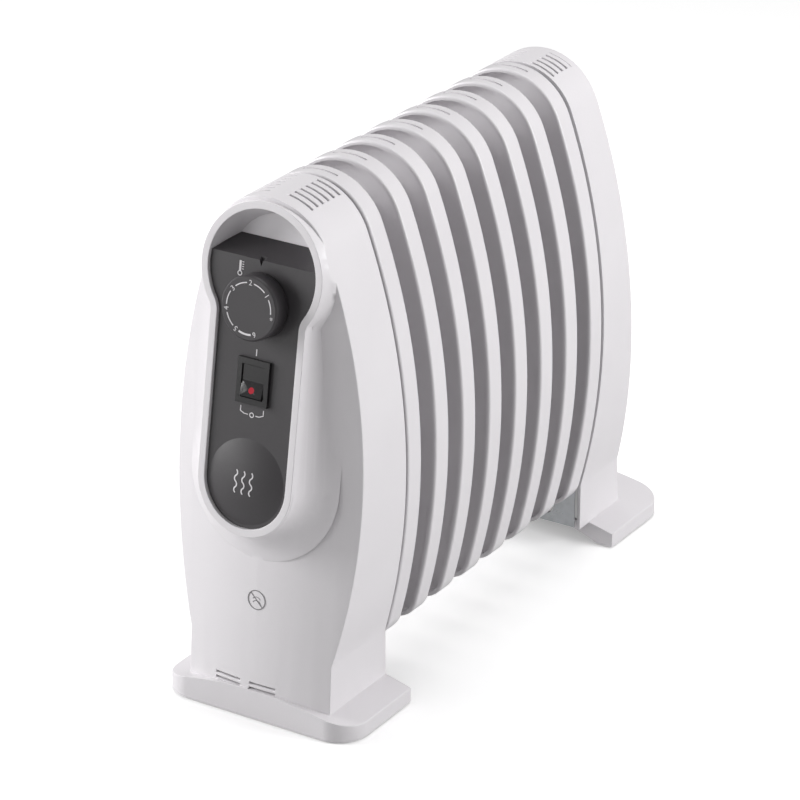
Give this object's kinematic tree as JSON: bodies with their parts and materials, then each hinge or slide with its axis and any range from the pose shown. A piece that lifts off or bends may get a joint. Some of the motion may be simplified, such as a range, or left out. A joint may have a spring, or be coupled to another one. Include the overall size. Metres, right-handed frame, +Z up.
{
  "type": "oil filled radiator heater",
  "caption": "White oil filled radiator with bowed steel fins between two plastic end covers with feet, and a dark keyhole control panel with a numbered knob and a lit rocker switch.",
  "frame": {"origin": "on the floor, under the middle of the heater's bounding box", "axes": "+Z up; Y runs along the row of fins with the control panel at -Y; X runs across the fins"},
  "size_m": [0.156, 0.4511, 0.3717],
  "materials": {
    "white_plastic": "satin",
    "panel_plastic": "satin",
    "black_plastic": "satin",
    "red_lens": "clear",
    "fin_paint": "satin",
    "zinc_steel": "satin",
    "steel": "brushed",
    "brass": "satin",
    "aluminium": "satin",
    "rubber": "matte",
    "ivory_plastic": "satin",
    "brown_wire": "matte",
    "blue_wire": "matte",
    "green_wire": "matte"
  },
  "bodies": {
    "heater": {"front_cover": "white_plastic", "rear_cover": "white_plastic", "control_panel": "panel_plastic", "panel_boss": "panel_plastic", "thermostat": "ivory_plastic", "thermostat_nut": "steel", "switch_housing": "black_plastic", "fin_1_front": "fin_paint", "fin_1_rear": "fin_paint", "fin_2_front": "fin_paint", "fin_2_rear": "fin_paint", "fin_3_front": "fin_paint", "fin_3_rear": "fin_paint", "fin_4_front": "fin_paint", "fin_4_rear": "fin_paint", "fin_5_front": "fin_paint", "fin_5_rear": "fin_paint", "fin_6_front": "fin_paint", "fin_6_rear": "fin_paint", "fin_7_front": "fin_paint", "fin_7_rear": "fin_paint", "fin_8_front": "fin_paint", "fin_8_rear": "fin_paint", "heating_element": "steel", "element_flange": "brass", "element_gasket": "rubber", "filler_plug": "brass", "blanking_caps": "fin_paint", "front_bracket": "zinc_steel", "rear_bracket": "zinc_steel", "heat_shield": "aluminium", "thermal_cutout": "ivory_plastic", "cutout_clip": "steel", "terminal_block": "ivory_plastic", "cord_gland": "rubber", "live_lead": "brown_wire", "neutral_lead": "blue_wire", "earth_lead": "green_wire", "earth_screw": "brass", "cover_screws": "steel", "foot_pads": "rubber"},
    "thermostat_knob": {"knob": "black_plastic", "spindle": "steel"},
    "rocker_switch": {"rocker": "black_plastic", "switch_lamp": "red_lens"}
  },
  "joints": [
    {"name": "thermostat_turn", "type": "hinge", "parent": "heater", "child": "thermostat_knob", "pos_m": [0, -0.19693, 0.30016], "axis": [0, -0.9863, 0.165], "range_deg": [-200, 100]},
    {"name": "switch_rock", "type": "hinge", "parent": "heater", "child": "rocker_switch", "pos_m": [0, -0.20551, 0.24888], "axis": [1, 0, 0], "range_deg": [0, 14]}
  ]
}
